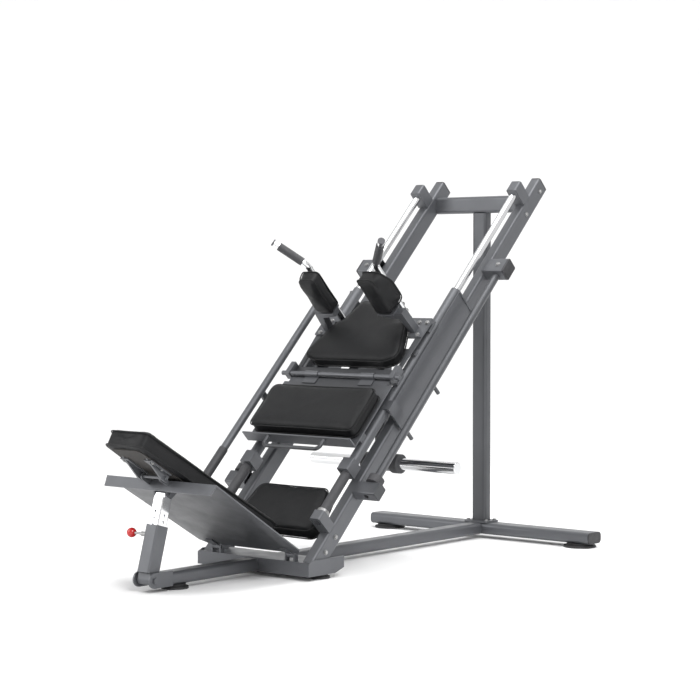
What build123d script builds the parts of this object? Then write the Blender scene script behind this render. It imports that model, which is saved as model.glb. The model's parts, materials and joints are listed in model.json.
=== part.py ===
"""Plate-loaded hack squat and leg press machine, millimetres, +Z up.

Row frame: +X is the machine's right, +Y runs from the foot plate to the rear
upright, Z = 0 is the floor, and the origin is the bottom centre of the whole
machine.  The two rails lean back at RAIL_ANGLE, so most parts are described in
the rail frame: x across the machine, s up the slope and h square to the slope,
with h = 0 on the rails' upper faces.  The head end of the backrest is described
in the plate frame: x across, f up the foot plate and n square to it.
"""
from build123d import *
import math
import os

# ---------------------------------------------------------------- rail frame
RAIL_ANGLE = 45.0
RAIL_FOOT_Y = -472.9
RAIL_FOOT_Z = 29.5

# ---------------------------------------------------------------- floor frame
FOOT_HEIGHT = 18.0
REAR_BAR_LENGTH = 1200.0
REAR_BAR_DEPTH = 100.0
BEAM_HEIGHT = 50.0
BEAM_WIDTH = 75.0
BEAM_CORNER = 14.0
REAR_BAR_CORNER = 18.0
TUBE_WALL = 3.0
UPRIGHT_Y = 1065.1
UPRIGHT_WIDTH = 75.0
UPRIGHT_DEPTH = 50.0
FLANGE = 8.0
HEAD_BEAM_HEIGHT = 75.0
HEAD_BEAM_TOP = 1527.0
BASE_FRONT_Y = -452.9
BASE_DEPTH = 156.0
BASE_TOP = 72.0
BASE_PLATE = 6.0
BASE_PLATE_REACH = 54.0
REAR_FOOT_X = 528.0
REAR_FOOT_RADIUS = 70.0
BASE_FOOT_X = 250.0
BASE_FOOT_RADIUS = 42.0
FRONT_FOOT_Y = -877.9
FRONT_FOOT_RADIUS = 52.0

# ---------------------------------------------------------------- rails and rods
RAIL_X = 265.0
RAIL_WIDTH = 50.0
RAIL_DEPTH = 75.0
RAIL_TOP_S = 2217.0
RAIL_CORNER = 10.0
RAIL_CAP = 8.0
RAIL_BOLTS = ((2181.0, -41.0), (2036.0, -41.0), (141.0, -37.0), (221.0, -41.0))
ROD_RADIUS = 16.0
ROD_HEIGHT = 60.0
ROD_LOW_S = 207.0
ROD_TOP_S = 2105.0
TOP_BLOCK_LENGTH = 55.0
TOP_BLOCK_HEIGHT = 92.0
ROD_BLOCK_WIDTH = 52.0
LOW_BLOCK_LENGTH = 44.0
LOW_BLOCK_HEIGHT = 86.0
RUNNING_GAP = 0.05
SOFT_GAP = 0.4

# ---------------------------------------------------------------- lock bars
LOCK_X = RAIL_X + 88.0
LOCK_H = -12.0
LOCK_RADIUS = 16.0
LOCK_JOURNAL_RADIUS = 10.0
STUB_REACH = 102.0
STUB_WALL = 4.0
STUB_CORNER = 7.0
UPPER_STUB_S = 1627.0
UPPER_STUB_LENGTH = 75.0
UPPER_STUB_HEIGHT = 60.0
UPPER_STUB_H = -10.0
LOWER_STUB_S = 408.0
LOWER_STUB_LENGTH = 62.0
LOWER_STUB_HEIGHT = 48.0
LOWER_STUB_H = -16.0
STUB_CAP = 10.0
BUMPER_LENGTH = 32.0
BUMPER_RADIUS = 33.0
PEG_RADIUS = 8.0
PEG_REACH = 54.0
PEG_POSITIONS = (757.0, 1005.0)
HANDLE_BAR_RISE = 154.0
HANDLE_BAR_LOW_S = 330.0
HANDLE_BAR_TOP_S = 1375.0
HANDLE_LINKS = (790.0, 1320.0)
HANDLE_GRIP_TOP_S = 470.0
GUARD = 6.0
GUARD_S = (838.0, 1454.0)
GUARD_H = (-63.0, 70.0)
GUARD_RIM = 8.0
GUARD_RIM_REACH = 4.0
GUARD_CLEARANCE = 1.5

# ---------------------------------------------------------------- carriage
SLEEVE_RADIUS = 23.0
SLEEVE_BORE = 19.0
SLEEVE_LOW_S = 456.0
SLEEVE_TOP_S = 1464.0
BUSH_LENGTH = 60.0
SLIDE_BLOCK_LENGTH = 58.0
SLIDE_BLOCK_HALF = 32.0
ROD_BUMPER_RADIUS = 20.0
STOP_COLLAR_LENGTH = 14.0
STOP_COLLAR_RADIUS = 25.0
CARRIAGE_PLATE_H = 105.0
CARRIAGE_PLATE = 6.0
CARRIAGE_PLATE_LOW_S = 926.0
CROSS_BAR_WIDTH = 60.0
CROSS_BAR_HEIGHT = 10.0
CROSS_BARS = (1232.0, 935.0)
PAD_BAR_S = 1085.0
PAD_BAR_WIDTH = 30.0
PLATE_WINDOW_HALF = RAIL_X - 11.0
CARRIAGE_PLATE_LOW_HALF = RAIL_X + 7.0
CARRIAGE_PLATE_TOP_HALF = RAIL_X + 24.0
PLATE_WINDOW_S = (964.0, 1146.0)
PAD_MARGIN = 4.0
CATCH_S = (776.0, 830.0)
HINGE_S = 912.0
HINGE_H = 127.0
HINGE_BAR_RADIUS = 10.0
HINGE_BAR_HALF = RAIL_X + 50.0
HINGE_LUG_X = RAIL_X + 3.0
WEIGHT_Y = 365.1
WEIGHT_Z = 383.0
WEIGHT_ARM = 50.0
HORN_RADIUS = 25.0
HORN_SHANK_RADIUS = 20.0
HORN_SHANK_X = 20.0
HUB_RADIUS = 34.0
HORN_HALF = 392.0
HORN_FLANGE_X = 60.0
HORN_FLANGE = 36.0
HORN_FLANGE_RADIUS = 41.0
SHOULDER_S = (1149.0, 1216.0)
SHOULDER_H = (236.0, 432.0)
SHOULDER_INNER_X = 116.0
SHOULDER_FACE_X = 203.0
SHOULDER_BACK_X = 254.0
SHOULDER_CUT = 50.0
GRIP_TUBE_RADIUS = 14.0
GRIP_RADIUS = 17.5
GRIP_X = 182.0
GRIP_S = 1236.0
GRIP_BARE = 26.0
GRIP_BEND_H = 440.0
GRIP_END_X = 287.0
GRIP_END_H = 572.0
BACK_PAD_THICKNESS = 56.0
BACK_PAD_OUTLINE = (
    (188.0, 982.0), (238.0, 1003.0), (247.0, 1040.0), (190.0, 1200.0), (160.0, 1214.0), (114.0, 1326.0)
)

# ---------------------------------------------------------------- flip plate
FLIP_LOW_S = 548.0
FLIP_TOP_S = 898.0
FLIP_HALF = RAIL_X + 23.0
FLIP_PLATE = 6.0
FLIP_PLATE_H = 112.0
FLIP_LIP_TOP = 162.0
FLIP_PAD_S = (586.0, 814.0)
FLIP_PAD_HALF = FLIP_HALF - 9.0
FLIP_PAD_THICKNESS = 60.0
PULL_HALF = 149.0
PULL_REACH = 50.0
PULL_RADIUS = 8.0
PULL_H = 150.0

# ---------------------------------------------------------------- foot plate
PLATE_HINGE_Y = -440.9
PLATE_HINGE_Z = 95.0
PLATE_ANGLE = 31.0
PLATE_LENGTH = 588.0
PLATE_START = 14.0
PLATE_HALF = 268.0
PLATE_FLARE = 20.0
PLATE_THICKNESS = 5.0
PLATE_LIFT = 9.0
PLATE_LIP = 44.0
PLATE_PIN_RADIUS = 6.0
PLATE_LUG_X = 197.0
PAD_PIN_F = 644.0
PAD_PIN_N = 0.0
PAD_PIN = 6.0
PAD_ARM_X = 62.0
BACKREST_HEAD_F = 845.0
BACKREST_LENGTH = 782.0
BACKREST_HEAD_HALF = 100.0
BACKREST_SEAT_HALF = 145.0
BACKREST_BOARD = 5.0
BACKREST_BOARD_INSET = 24.0
BACKREST_THICKNESS = 74.0
BACKREST_LIFT = 20.0

# ---------------------------------------------------------------- support post
POST_FOOT_Y = -1024.9
POST_FOOT_Z = 47.0
POST_TOP_F = 560.0
POST_TOP_N = -28.0
POST_OUTER = 62.0
POST_INNER = 50.0
POST_OUTER_LOW = 24.0
POST_OUTER_TOP = 204.0
POST_INNER_LOW = 96.0
POST_PIN_RADIUS = 6.0
CLEVIS_PLATE = 7.0
HOLE_COUNT = 5
HOLE_BELOW = 1
HOLE_PITCH = 25.0
TOP_PIVOT_GAP = 1.0
POST_BRACKET_HALF = 34.0
POST_BRACKET_WIDTH = 150.0
LINER_LENGTH = 70.0
KNOB_RADIUS = 19.0
PULL_PIN_ALONG = 168.0
PULL_PIN_REACH = 88.0
PULL_PIN_RADIUS = 5.0

# ---------------------------------------------------------------- seat
SEAT_S = (192.0, 410.0)
SEAT_TOP_H = 30.0
SEAT_THICKNESS = 72.0
SEAT_FRONT_HALF = 226.0
SEAT_BACK_HALF = 186.0
SEAT_BOARD = 8.0
SEAT_BOARD_INSET = 20.0
SEAT_TUBE = 40.0

# ---------------------------------------------------------------- derived sizes
BEAM_Z = FOOT_HEIGHT + BEAM_HEIGHT / 2
BASE_LENGTH = 2 * (RAIL_X + RAIL_WIDTH / 2 + BASE_PLATE)
BASE_FOOT_Y = BASE_FRONT_Y + BASE_DEPTH - BASE_FOOT_RADIUS
CLEVIS_RADIUS = POST_FOOT_Z - FOOT_HEIGHT
BEAM_FRONT_Y = POST_FOOT_Y + 48.0
CLEVIS_TAIL_Y = BEAM_FRONT_Y + 45.0
RAIL_FACE_X = RAIL_X + RAIL_WIDTH / 2
UPPER_STUB_TOP = UPPER_STUB_H + UPPER_STUB_HEIGHT / 2
CARRIAGE_DECK = CARRIAGE_PLATE_H + CARRIAGE_PLATE
CROSS_BAR_TOP_H = ROD_HEIGHT + SLEEVE_RADIUS + CROSS_BAR_HEIGHT
UPPER_STUB = (UPPER_STUB_S, UPPER_STUB_LENGTH, UPPER_STUB_HEIGHT, UPPER_STUB_H)
LOWER_STUB = (LOWER_STUB_S, LOWER_STUB_LENGTH, LOWER_STUB_HEIGHT, LOWER_STUB_H)

SIN = math.sin(math.radians(RAIL_ANGLE))
COS = math.cos(math.radians(RAIL_ANGLE))
RAIL = Plane(origin=(0, RAIL_FOOT_Y, RAIL_FOOT_Z), x_dir=(1, 0, 0), z_dir=(0, -SIN, COS))

PLATE_SIN = math.sin(math.radians(PLATE_ANGLE))
PLATE_COS = math.cos(math.radians(PLATE_ANGLE))
# Foot plate frame: x runs to the machine's left so that f climbs to the front.
PLATE = Plane(
    origin=(0, PLATE_HINGE_Y, PLATE_HINGE_Z),
    x_dir=(-1, 0, 0),
    z_dir=(0, PLATE_SIN, PLATE_COS),
)


def rail_to_world(s, h):
    """Row-frame Y and Z of a point given up the slope and square to it."""
    return RAIL_FOOT_Y + s * COS - h * SIN, RAIL_FOOT_Z + s * SIN + h * COS


def plate_to_world(f, n):
    """Row-frame Y and Z of a point in the foot plate frame."""
    y = PLATE_HINGE_Y - f * PLATE_COS + n * PLATE_SIN
    z = PLATE_HINGE_Z + f * PLATE_SIN + n * PLATE_COS
    return y, z


POST_TOP_Y, POST_TOP_Z = plate_to_world(POST_TOP_F, POST_TOP_N)
POST_LENGTH = math.hypot(POST_TOP_Y - POST_FOOT_Y, POST_TOP_Z - POST_FOOT_Z)
# Post frame: local z climbs from the foot pivot to the pivot under the plate.
POST = Plane(
    origin=(0, POST_FOOT_Y, POST_FOOT_Z),
    x_dir=(1, 0, 0),
    z_dir=(0, POST_TOP_Y - POST_FOOT_Y, POST_TOP_Z - POST_FOOT_Z),
)

NODES = {}


def keep(name, *shapes):
    """Add the solids of one or more shapes to a node."""
    pieces = NODES.setdefault(name, [])
    for shape in shapes:
        pieces.extend(shape.solids())


def box(x, y, z):
    """Axis-aligned box from three (low, high) pairs."""
    block = Box(x[1] - x[0], y[1] - y[0], z[1] - z[0])
    return Pos((x[0] + x[1]) / 2, (y[0] + y[1]) / 2, (z[0] + z[1]) / 2) * block


def cyl_between(start, end, radius):
    """Round bar between two points."""
    line = Vector(*end) - Vector(*start)
    plane = Plane(origin=start, z_dir=line)
    return extrude(plane * Circle(radius), line.length)


def in_rail(shape):
    return RAIL.location * shape


def in_plate(shape):
    return PLATE.location * shape


def in_post(shape):
    return POST.location * shape


def both_sides(maker):
    """The part for the right side and its mirror image for the left."""
    right = maker()
    return right, mirror(right, about=Plane.YZ)


def rect_tube(width, depth, length, wall, corner):
    """Hollow rectangular tube along +Z, centred on the origin in x and y."""
    outer = extrude(RectangleRounded(width, depth, corner), length)
    inner = extrude(RectangleRounded(width - 2 * wall, depth - 2 * wall, corner - wall), length)
    return outer - inner


def hex_bolt(radius=5.0, head=8.5, thickness=5.0, shank=10.0):
    """Bolt along +Z: the washer face is at z = 0 and the head stands above it."""
    washer = Cylinder(head + 2, 1.5, align=(Align.CENTER, Align.CENTER, Align.MIN))
    cap = Pos(0, 0, 1.5) * extrude(RegularPolygon(head, 6), thickness)
    cap = chamfer(cap.edges().group_by(Axis.Z)[-1], 0.8)
    stem = Pos(0, 0, -shank) * Cylinder(radius, shank, align=(Align.CENTER, Align.CENTER, Align.MIN))
    return washer + cap + stem


def bolt_hole(plane, radius, depth):
    """Cylinder to cut for a bolt that sits on the given plane."""
    hole = Cylinder(radius, depth, align=(Align.CENTER, Align.CENTER, Align.MAX))
    return plane.location * hole


# ================================================================ floor frame
def rear_crossbar():
    tube = rect_tube(REAR_BAR_DEPTH, BEAM_HEIGHT, REAR_BAR_LENGTH, TUBE_WALL, REAR_BAR_CORNER)
    turned = Plane(origin=(-REAR_BAR_LENGTH / 2, UPRIGHT_Y, BEAM_Z), x_dir=(0, 1, 0), z_dir=(1, 0, 0))
    keep("rear_crossbar", turned.location * tube)


def end_cap(plane, width, depth, corner, wall, lip):
    """Moulded cap with a plug that fills the end of a tube."""
    lid = extrude(RectangleRounded(width, depth, corner), lip)
    lid = fillet(lid.edges().group_by(Axis.Z)[-1], 3)
    inner = 2 * wall + 0.4
    plug = Pos(0, 0, -12) * extrude(RectangleRounded(width - inner, depth - inner, corner - wall), 12)
    return plane.location * (lid + plug)


def frame_caps():
    """Caps on the rear crossbar, the tops of the rails and the lock bar brackets."""
    def crossbar():
        plane = Plane(origin=(REAR_BAR_LENGTH / 2, UPRIGHT_Y, BEAM_Z), x_dir=(0, 1, 0), z_dir=(1, 0, 0))
        return end_cap(plane, REAR_BAR_DEPTH, BEAM_HEIGHT, REAR_BAR_CORNER, TUBE_WALL, 5)

    def rail_top():
        plane = Plane(origin=(RAIL_X, RAIL_TOP_S, -RAIL_DEPTH / 2), x_dir=(-1, 0, 0), z_dir=(0, 1, 0))
        return in_rail(end_cap(plane, RAIL_WIDTH, RAIL_DEPTH, RAIL_CORNER, TUBE_WALL, RAIL_CAP))

    def bracket(s_low, length, height, h_centre):
        origin = (RAIL_FACE_X + STUB_REACH, s_low + length / 2, h_centre)
        plane = Plane(origin=origin, x_dir=(0, 1, 0), z_dir=(1, 0, 0))
        return in_rail(end_cap(plane, length, height, STUB_CORNER, STUB_WALL, STUB_CAP))

    keep("frame_end_caps", *both_sides(crossbar))
    keep("frame_end_caps", *both_sides(rail_top))
    upper = both_sides(lambda: bracket(*UPPER_STUB))
    lower = both_sides(lambda: bracket(*LOWER_STUB))
    keep("frame_end_caps", *upper)
    keep("lock_bar_brackets", *lower)


def stepped_foot(x, y, radius, top=FOOT_HEIGHT):
    """Rubber foot: a wide sole with a narrower pad above it, up to the frame."""
    sole = Cylinder(radius, top * 0.5, align=(Align.CENTER, Align.CENTER, Align.MIN))
    sole = fillet(sole.edges().group_by(Axis.Z)[-1], 2.5)
    pad = Cylinder(radius * 0.8, top, align=(Align.CENTER, Align.CENTER, Align.MIN))
    return Pos(x, y, 0) * (sole + pad)


def feet():
    keep("rear_feet", *both_sides(lambda: stepped_foot(REAR_FOOT_X, UPRIGHT_Y, REAR_FOOT_RADIUS)))
    base = both_sides(lambda: stepped_foot(BASE_FOOT_X, BASE_FOOT_Y, BASE_FOOT_RADIUS))
    keep("front_feet", *base, stepped_foot(0, FRONT_FOOT_Y, FRONT_FOOT_RADIUS))


def floor_beam(start, end):
    tube = rect_tube(BEAM_WIDTH, BEAM_HEIGHT, end - start, TUBE_WALL, BEAM_CORNER)
    plane = Plane(origin=(0, start, BEAM_Z), x_dir=(-1, 0, 0), z_dir=(0, 1, 0))
    return plane.location * tube


def floor_beams():
    """Two runs of tube: clevis to base crossbar, and base crossbar to rear crossbar."""
    keep("floor_beam", floor_beam(BEAM_FRONT_Y, BASE_FRONT_Y))
    keep("floor_beam", floor_beam(BASE_FRONT_Y + BASE_DEPTH, UPRIGHT_Y - REAR_BAR_DEPTH / 2))


def post_clevis():
    """Two round-nosed cheeks on the front of the beam with the post's foot pin."""
    def cheek():
        plane = Plane(origin=(BEAM_WIDTH / 2, 0, 0), x_dir=(0, 1, 0), z_dir=(1, 0, 0))
        nose = Pos(POST_FOOT_Y, POST_FOOT_Z) * Circle(CLEVIS_RADIUS)
        tail_len = CLEVIS_TAIL_Y - POST_FOOT_Y
        tail = Pos(POST_FOOT_Y + tail_len / 2, POST_FOOT_Z) * Rectangle(tail_len, 2 * CLEVIS_RADIUS)
        bore = Pos(POST_FOOT_Y, POST_FOOT_Z) * Circle(POST_PIN_RADIUS)
        return plane.location * extrude(nose + tail - bore, CLEVIS_PLATE)
    keep("post_clevis", *both_sides(cheek))
    half = BEAM_WIDTH / 2 + CLEVIS_PLATE
    pin = cyl_between((-half, POST_FOOT_Y, POST_FOOT_Z), (half, POST_FOOT_Y, POST_FOOT_Z), POST_PIN_RADIUS)
    right_head = cyl_between((half, POST_FOOT_Y, POST_FOOT_Z), (half + 7, POST_FOOT_Y, POST_FOOT_Z), 11)
    left_head = cyl_between((-half - 7, POST_FOOT_Y, POST_FOOT_Z), (-half, POST_FOOT_Y, POST_FOOT_Z), 11)
    keep("post_clevis", pin + right_head + left_head)


def base_crossbar():
    """Sharp-edged box under the rails' feet with a taller plate on each end."""
    low = FOOT_HEIGHT
    half = BASE_LENGTH / 2 - BASE_PLATE
    rear = BASE_FRONT_Y + BASE_DEPTH
    wall = TUBE_WALL
    outer = box((-half, half), (BASE_FRONT_Y, rear), (low, BASE_TOP))
    inner = box((-half, half), (BASE_FRONT_Y + wall, rear - wall), (low + wall, BASE_TOP - wall))

    def end_plate():
        plane = Plane(origin=(half, 0, 0), x_dir=(0, 1, 0), z_dir=(1, 0, 0))
        outline = Polyline(
            (BASE_FRONT_Y, low),
            (rear, low),
            (rear + BASE_PLATE_REACH, low + 18),
            (rear + BASE_PLATE_REACH, BASE_TOP + 8),
            (BASE_FRONT_Y + 26, BASE_TOP + 8),
            (BASE_FRONT_Y, BASE_TOP - 4),
            close=True,
        )
        return plane.location * extrude(make_face(outline), BASE_PLATE)
    right, left = both_sides(end_plate)
    keep("base_crossbar", outer - inner + right + left)


def upright():
    """Upright tube welded to a foot flange that is bolted to the rear crossbar."""
    low = FOOT_HEIGHT + BEAM_HEIGHT
    high = HEAD_BEAM_TOP - HEAD_BEAM_HEIGHT
    tube = rect_tube(UPRIGHT_WIDTH, UPRIGHT_DEPTH, high - low - FLANGE, TUBE_WALL, BEAM_CORNER)
    body = Pos(0, UPRIGHT_Y, low + FLANGE) * tube
    body += Pos(0, UPRIGHT_Y, low) * extrude(RectangleRounded(UPRIGHT_WIDTH + 50, REAR_BAR_DEPTH - 8, 6), FLANGE)
    bolts = []
    for x in (-1, 1):
        for y in (-1, 1):
            spot = Plane(origin=(x * (UPRIGHT_WIDTH / 2 + 13), UPRIGHT_Y + y * 30, low + FLANGE))
            bolts.append(spot.location * hex_bolt(shank=FLANGE))
            body -= bolt_hole(spot, 5, FLANGE)
    keep("upright", body)
    keep("frame_bolts", *bolts)


def head_beam():
    """Cross member between the rails at the top of the upright."""
    half = RAIL_X - RAIL_WIDTH / 2
    tube = rect_tube(UPRIGHT_DEPTH, HEAD_BEAM_HEIGHT, 2 * half, TUBE_WALL, BEAM_CORNER)
    plane = Plane(
        origin=(-half, UPRIGHT_Y, HEAD_BEAM_TOP - HEAD_BEAM_HEIGHT / 2),
        x_dir=(0, 1, 0),
        z_dir=(1, 0, 0),
    )
    keep("head_beam", plane.location * tube)


# ================================================================ rails and rods
def rail_bolt_planes():
    """Where bolts sit on the right rail's outer wall, in the rail frame."""
    return [Plane(origin=(RAIL_FACE_X, s, h), z_dir=(1, 0, 0)) for s, h in RAIL_BOLTS]


def rails():
    """Rounded rectangular tubes, cut level where they stand on the base crossbar."""
    start = 40.0
    tube = rect_tube(RAIL_WIDTH, RAIL_DEPTH, RAIL_TOP_S - start, TUBE_WALL, RAIL_CORNER)
    plane = Plane(origin=(RAIL_X, start, -RAIL_DEPTH / 2), x_dir=(-1, 0, 0), z_dir=(0, 1, 0))
    tube = plane.location * tube
    bolts = []
    for spot in rail_bolt_planes():
        tube -= bolt_hole(spot, 5, TUBE_WALL + 1)
        bolts.append(in_rail(spot.location * hex_bolt(shank=TUBE_WALL - 0.5)))
    floor = box((-400, 400), (RAIL_FOOT_Y - 300, RAIL_FOOT_Y + 500), (-300, BASE_TOP))
    right = in_rail(tube) - floor
    keep("right_rail", right)
    keep("left_rail", mirror(right, about=Plane.YZ))
    keep("frame_bolts", *bolts, *[mirror(bolt, about=Plane.YZ) for bolt in bolts])


def guide_rods():
    def one():
        return in_rail(cyl_between((RAIL_X, ROD_LOW_S, ROD_HEIGHT), (RAIL_X, ROD_TOP_S, ROD_HEIGHT), ROD_RADIUS))
    right, left = both_sides(one)
    keep("guide_rods", right)
    keep("guide_rods", left)


def rod_block(s_low, length, height):
    """Saddle block that stands on a rail and holds the end of its rod."""
    half = ROD_BLOCK_WIDTH / 2
    block = box((RAIL_X - half, RAIL_X + half), (s_low, s_low + length), (0, height))
    block = fillet(block.edges().filter_by(Axis.Y).group_by(Axis.Z)[-1], 9)
    bore = cyl_between(
        (RAIL_X, s_low - 1, ROD_HEIGHT), (RAIL_X, s_low + length + 1, ROD_HEIGHT), ROD_RADIUS
    )
    return in_rail(block - bore)


def rod_mounts():
    top_low = ROD_TOP_S - TOP_BLOCK_LENGTH
    top = both_sides(lambda: rod_block(top_low, TOP_BLOCK_LENGTH, TOP_BLOCK_HEIGHT))
    low = both_sides(lambda: rod_block(ROD_LOW_S, LOW_BLOCK_LENGTH, LOW_BLOCK_HEIGHT))
    keep("rod_blocks", *top)
    keep("rod_blocks", *low)


def ring(s_low, length, outer, inner, x=RAIL_X, h=ROD_HEIGHT):
    """Ring round an axis that runs up the slope."""
    body = cyl_between((x, s_low, h), (x, s_low + length, h), outer)
    return body - cyl_between((x, s_low - 1, h), (x, s_low + length + 1, h), inner)


def stop_bumpers():
    """Rubber sleeves under the carriage and rubber rings at the foot of the lock bars."""
    collar_low = ROD_LOW_S + LOW_BLOCK_LENGTH
    rod_low = collar_low + STOP_COLLAR_LENGTH
    length = SLEEVE_LOW_S - SOFT_GAP - rod_low
    bar_low = LOWER_STUB_S + LOWER_STUB_LENGTH
    bore = LOCK_JOURNAL_RADIUS + 1
    rods = both_sides(lambda: in_rail(ring(rod_low, length, ROD_BUMPER_RADIUS, ROD_RADIUS)))
    bars = both_sides(lambda: in_rail(ring(bar_low, BUMPER_LENGTH, BUMPER_RADIUS, bore, LOCK_X, LOCK_H)))
    keep("stop_bumpers", *rods, *bars)
    keep("rod_collars", *both_sides(
        lambda: in_rail(ring(collar_low, STOP_COLLAR_LENGTH, STOP_COLLAR_RADIUS, ROD_RADIUS))
    ))


# ================================================================ lock bars
def stub(s_low, length, height, h_centre):
    """Short hollow bracket welded to a rail's outer face, bored for a lock bar."""
    tube = rect_tube(length, height, STUB_REACH, STUB_WALL, STUB_CORNER)
    plane = Plane(origin=(RAIL_FACE_X, s_low + length / 2, h_centre), x_dir=(0, 1, 0), z_dir=(1, 0, 0))
    body = plane.location * tube
    return body - cyl_between(
        (LOCK_X, s_low - 1, LOCK_H), (LOCK_X, s_low + length + 1, LOCK_H), LOCK_JOURNAL_RADIUS + RUNNING_GAP
    )


def lock_brackets():
    spot = Plane(origin=(LOCK_X + 6, UPPER_STUB_S + UPPER_STUB_LENGTH / 2, UPPER_STUB_TOP))
    upper = both_sides(lambda: in_rail(stub(*UPPER_STUB) - bolt_hole(spot, 5, STUB_WALL + 1)))
    lower = both_sides(lambda: in_rail(stub(*LOWER_STUB)))
    keep("lock_bar_brackets", *upper)
    keep("lock_bar_brackets", *lower)
    keep("frame_bolts", *both_sides(lambda: in_rail(spot.location * hex_bolt(shank=STUB_WALL - 0.5))))


def lock_bar(side):
    """Turning bar with two pegs that point away from the carriage at rest."""
    x = side * LOCK_X
    low = LOWER_STUB_S + LOWER_STUB_LENGTH + BUMPER_LENGTH + 1
    high = UPPER_STUB_S - 1
    bar = cyl_between((x, low, LOCK_H), (x, high, LOCK_H), LOCK_RADIUS)
    journal_low = LOWER_STUB_S + STUB_WALL * 3
    journal_high = UPPER_STUB_S + STUB_WALL * 3
    bar += cyl_between((x, journal_low, LOCK_H), (x, journal_high, LOCK_H), LOCK_JOURNAL_RADIUS)
    for s in PEG_POSITIONS:
        bar += cyl_between((x, s, LOCK_H), (x, s, LOCK_H - PEG_REACH), PEG_RADIUS)
    return bar


def release_bar():
    """Long bar beside the left lock bar, joined to it by two straps, with a grip."""
    x = -LOCK_X
    h = LOCK_H + HANDLE_BAR_RISE
    bar = cyl_between((x, HANDLE_BAR_LOW_S, h), (x, HANDLE_BAR_TOP_S, h), LOCK_RADIUS)
    for s in HANDLE_LINKS:
        strap = box((x - 6, x + 6), (s - 14, s + 14), (LOCK_H + 2, h))
        bar += strap - cyl_between((x, s - 20, LOCK_H), (x, s + 20, LOCK_H), LOCK_RADIUS)
    keep("release_bar", in_rail(bar))
    grip = cyl_between((x, HANDLE_BAR_LOW_S - 4, h), (x, HANDLE_GRIP_TOP_S, h), LOCK_RADIUS + 3)
    grip -= cyl_between((x, HANDLE_BAR_LOW_S, h), (x, HANDLE_GRIP_TOP_S + 1, h), LOCK_RADIUS)
    keep("release_grip", in_rail(grip))


def lock_bars():
    keep("right_lock_bar", in_rail(lock_bar(1)))
    keep("left_lock_bar", in_rail(lock_bar(-1)))
    release_bar()


def rail_guards():
    """Plate on the outer face of each rail with a raised rim at both ends."""
    x = (RAIL_FACE_X, RAIL_FACE_X + GUARD)
    rim_x = (RAIL_FACE_X, RAIL_FACE_X + GUARD + GUARD_RIM_REACH)
    low, high = GUARD_S

    def one():
        body = box(x, GUARD_S, GUARD_H)
        body += box(rim_x, (low, low + GUARD_RIM), GUARD_H)
        body += box(rim_x, (high - GUARD_RIM, high), GUARD_H)
        return in_rail(body)
    keep("rail_guards", *both_sides(one))


# ================================================================ carriage
def sleeve():
    """Long tube that runs on a guide rod; its bushes sit at both ends."""
    return in_rail(ring(SLEEVE_LOW_S, SLEEVE_TOP_S - SLEEVE_LOW_S, SLEEVE_RADIUS, SLEEVE_BORE))


def sleeve_bushes():
    bore = ROD_RADIUS + RUNNING_GAP
    low = in_rail(ring(SLEEVE_LOW_S, BUSH_LENGTH, SLEEVE_BORE, bore))
    high = in_rail(ring(SLEEVE_TOP_S - BUSH_LENGTH, BUSH_LENGTH, SLEEVE_BORE, bore))
    return low, high


def slide_block():
    """Block clamped round the lower end of a sleeve."""
    half = SLIDE_BLOCK_HALF
    block = box(
        (RAIL_X - half, RAIL_FACE_X - GUARD_CLEARANCE),
        (SLEEVE_LOW_S, SLEEVE_LOW_S + SLIDE_BLOCK_LENGTH),
        (ROD_HEIGHT - half, ROD_HEIGHT + half),
    )
    block = fillet(block.edges().filter_by(Axis.Y), 5)
    bore = cyl_between(
        (RAIL_X, SLEEVE_LOW_S - 1, ROD_HEIGHT),
        (RAIL_X, SLEEVE_LOW_S + SLIDE_BLOCK_LENGTH + 1, ROD_HEIGHT),
        SLEEVE_RADIUS,
    )
    return in_rail(block - bore)


def catch():
    """Plate hung outside the guard, from a bridge over it, that a peg stops when it is turned in."""
    x0 = RAIL_FACE_X + GUARD + GUARD_RIM_REACH + 2
    x1 = x0 + 8
    low, high = CATCH_S
    bridge_low = GUARD_H[1] + 4
    bridge_top = bridge_low + 10
    body = box((x0, x1), CATCH_S, (-52, bridge_top))
    pad = box((RAIL_X, x0), (low + 4, high - 4), (bridge_low, bridge_top))
    pad -= cyl_between((RAIL_X, low - 90, ROD_HEIGHT), (RAIL_X, high + 20, ROD_HEIGHT), SLEEVE_RADIUS)
    return in_rail(body + pad)


def flip_rest():
    """Block on a sleeve that the flip plate lies on."""
    top = FLIP_PLATE_H - SOFT_GAP
    block = box((RAIL_X - 11, RAIL_X + 11), (596, 636), (ROD_HEIGHT, top))
    return in_rail(block - cyl_between((RAIL_X, 590, ROD_HEIGHT), (RAIL_X, 640, ROD_HEIGHT), SLEEVE_RADIUS))


def carriage_sides():
    right, left = both_sides(sleeve)
    keep("sleeves", right)
    keep("sleeves", left)
    bushes = []
    for item in sleeve_bushes():
        bushes.append(item)
        bushes.append(mirror(item, about=Plane.YZ))
    keep("sleeve_bushes", *bushes)
    keep("slide_blocks", *both_sides(slide_block))
    keep("catch_plates", *both_sides(catch))
    keep("flip_rests", *both_sides(flip_rest))


def cross_bars():
    """Flat bars across the sleeves that carry the carriage plate and the upper pad."""
    half = RAIL_X + 18
    low = CROSS_BAR_TOP_H - CROSS_BAR_HEIGHT
    bars = [box((-half, half), (s - CROSS_BAR_WIDTH / 2, s + CROSS_BAR_WIDTH / 2), (low, CROSS_BAR_TOP_H))
            for s in CROSS_BARS]
    edge = PAD_BAR_WIDTH / 2
    bars.append(box((-half, half), (PAD_BAR_S - edge, PAD_BAR_S + edge), (low, CROSS_BAR_TOP_H)))
    keep("carriage_cross_bars", *[in_rail(bar) for bar in bars])


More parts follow.
